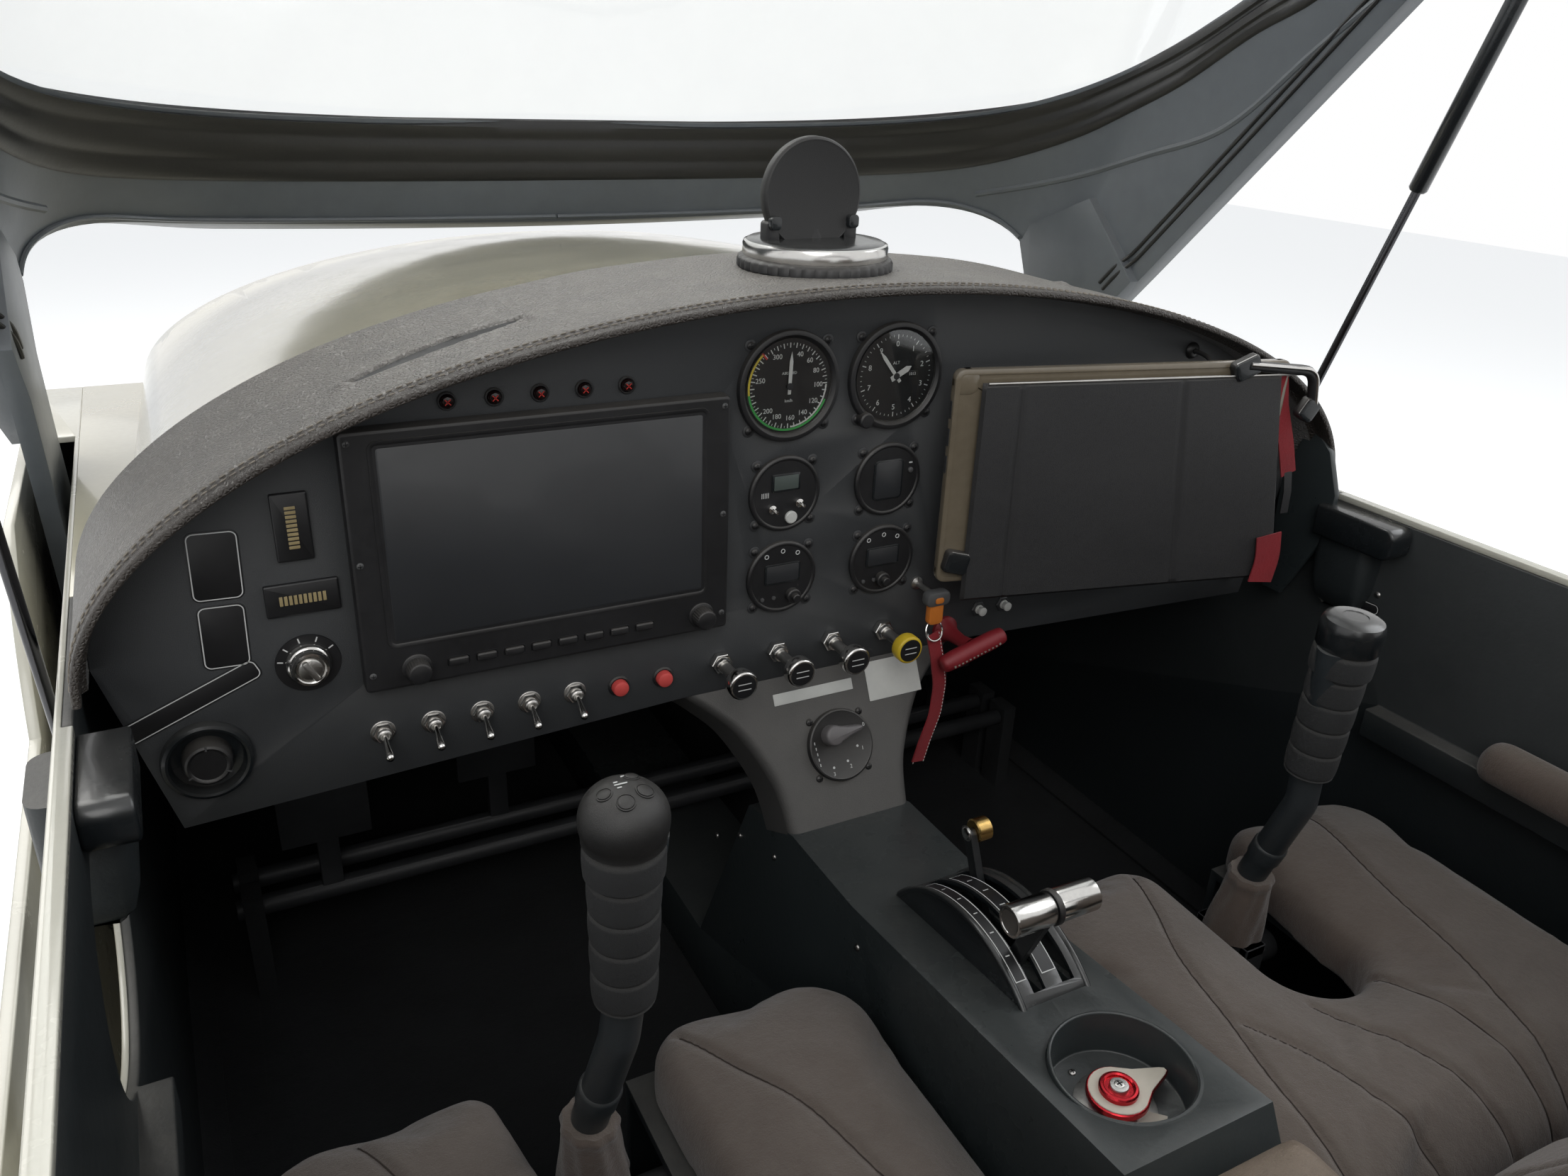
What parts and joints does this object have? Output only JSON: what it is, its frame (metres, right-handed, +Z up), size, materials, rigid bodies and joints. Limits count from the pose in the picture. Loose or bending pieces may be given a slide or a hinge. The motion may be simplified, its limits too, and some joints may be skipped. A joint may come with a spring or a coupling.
{
  "type": "light aircraft cockpit section",
  "caption": "Side-by-side cockpit section of a light aircraft: panel under an arched leather glareshield, sticks, seats, console and a forward-hinged canopy, open.",
  "frame": {"origin": "middle of the section's underside", "axes": "+Z up, +Y forwards to the nose, +X to the right-hand seat"},
  "size_m": [1.16, 1.62, 1.7036],
  "materials": {
    "white_paint": "gloss white paint",
    "grey_composite": "moulded grey canopy frame",
    "black_composite": "textured dark liner and console",
    "panel_grey": "matt dark grey powder coat",
    "stitched_leather": "grey-brown grained leather with a stitched edge",
    "suede": "brown-grey suede",
    "tan_leather": "tan armrest",
    "black_plastic": "black instrument plastic",
    "gloss_black": "glossy black plastic",
    "rubber_foam": "ribbed foam grip",
    "satin_metal": "satin aluminium",
    "chrome": "polished chrome",
    "steel": "plain steel",
    "red_anodised": "red anodised ring",
    "red_plastic": "red handle",
    "red_ribbon": "red ribbon",
    "screen": "dark screen",
    "acrylic": "clear acrylic",
    "bronze_case": "clear bronze tablet case",
    "grey_carpet": "dark carpet",
    "lamp_red": "dark red lamp",
    "gold_bars": "amber bars"
  },
  "bodies": {
    "airframe": {"fuselage_skin": "white_paint", "floor_pan": "grey_carpet", "firewall": "steel", "rear_bulkhead": "grey_composite", "front_deck": "white_paint", "side_liner_left": "black_composite", "side_liner_right": "black_composite", "corner_caps": "gloss_black", "glareshield": "stitched_leather", "instrument_panel": "panel_grey", "airspeed_indicator": "black_plastic", "altimeter": "black_plastic", "propeller_control": "black_plastic", "traffic_display": "black_plastic", "radio": "black_plastic", "transponder": "black_plastic", "display_unit": "screen", "warning_lamps": "lamp_red", "toggle_switches": "satin_metal", "panel_fittings": "red_plastic", "pull_knobs": "satin_metal", "trim_indicators": "gold_bars", "ignition_switch": "satin_metal", "air_vents": "gloss_black", "pedestal": "panel_grey", "flap_selector": "black_plastic", "console_body": "black_composite", "throttle_quadrant": "gloss_black", "fuel_valve_base": "black_composite", "seat_bases": "black_composite", "seat_cushion_right": "suede", "seat_cushion_left": "suede", "seat_back_right": "suede", "seat_back_left": "suede", "armrest_cushion": "tan_leather", "side_bolsters": "suede", "canopy_pivots": "steel", "phone_mount": "gloss_black", "tablet": "bronze_case", "tablet_cover": "black_plastic", "tablet_mount": "black_plastic", "rescue_handle": "red_plastic", "safety_tag": "red_ribbon", "tablet_cable": "rubber_foam"},
    "canopy": {"canopy_frame": "grey_composite", "canopy_glass": "acrylic"},
    "strut_rods": {"strut_rod_left": "chrome", "strut_rod_right": "chrome"},
    "strut_tubes": {"strut_tubes": "gloss_black"},
    "torque_tube": {"torque_tube": "steel"},
    "stick_left": {"stick_left": "black_plastic", "stick_grip_left": "rubber_foam"},
    "stick_right": {"stick_right": "black_plastic", "stick_grip_right": "rubber_foam"},
    "throttle": {"throttle_lever": "chrome"},
    "choke": {"choke_lever": "satin_metal"},
    "fuel_selector": {"fuel_selector": "red_anodised"},
    "left_pedals": {"left_pedals": "steel"},
    "right_pedals": {"right_pedals": "steel"}
  },
  "joints": [
    {"name": "canopy_hinge", "type": "hinge", "parent": "airframe", "child": "canopy", "pos_m": [0, 0.515, 0.25], "axis": [1, 0, 0], "range_deg": [0, 47]},
    {"name": "strut_swing", "type": "hinge", "parent": "airframe", "child": "strut_rods", "pos_m": [0, 0.188, 0.28], "axis": [1, 0, 0], "range_deg": [0, 62.84]},
    {"name": "strut_slide", "type": "slide", "parent": "strut_rods", "child": "strut_tubes", "axis": [0, -0.2901, 0.957], "range_m": [-0.15719, 0]},
    {"name": "stick_pitch", "type": "hinge", "parent": "airframe", "child": "torque_tube", "pos_m": [0, -0.155, 0.2], "axis": [1, 0, 0], "range_deg": [-15, 15]},
    {"name": "stick_roll_left", "type": "hinge", "parent": "torque_tube", "child": "stick_left", "pos_m": [-0.285, -0.155, 0.2], "axis": [0, 1, 0], "range_deg": [-14, 14]},
    {"name": "stick_roll_right", "type": "hinge", "parent": "torque_tube", "child": "stick_right", "pos_m": [0.285, -0.155, 0.2], "axis": [0, 1, 0], "range_deg": [-14, 14]},
    {"name": "throttle_hinge", "type": "hinge", "parent": "airframe", "child": "throttle", "pos_m": [-0.002, -0.17, 0.264], "axis": [-1, 0, 0], "range_deg": [0, 44]},
    {"name": "choke_hinge", "type": "hinge", "parent": "airframe", "child": "choke", "pos_m": [0.022, -0.17, 0.264], "axis": [1, 0, 0], "range_deg": [0, 45]},
    {"name": "fuel_selector_turn", "type": "hinge", "parent": "airframe", "child": "fuel_selector", "pos_m": [0, -0.308, 0.34], "axis": [0, 0, 1], "range_deg": [0, 180]},
    {"name": "left_pedals_hinge", "type": "hinge", "parent": "airframe", "child": "left_pedals", "pos_m": [0, 0.37, 0.12], "axis": [-1, 0, 0], "range_deg": [-20, 20]},
    {"name": "right_pedals_hinge", "type": "hinge", "parent": "airframe", "child": "right_pedals", "pos_m": [0, 0.416, 0.12], "axis": [-1, 0, 0], "range_deg": [-20, 20]}
  ],
  "couplings": [
    {"joint": "strut_swing", "follows": "canopy_hinge", "ratio": 1.337},
    {"joint": "strut_slide", "follows": "canopy_hinge", "m_per_rad": -0.19162},
    {"joint": "stick_roll_right", "follows": "stick_roll_left", "ratio": 1},
    {"joint": "right_pedals_hinge", "follows": "left_pedals_hinge", "ratio": -1}
  ]
}
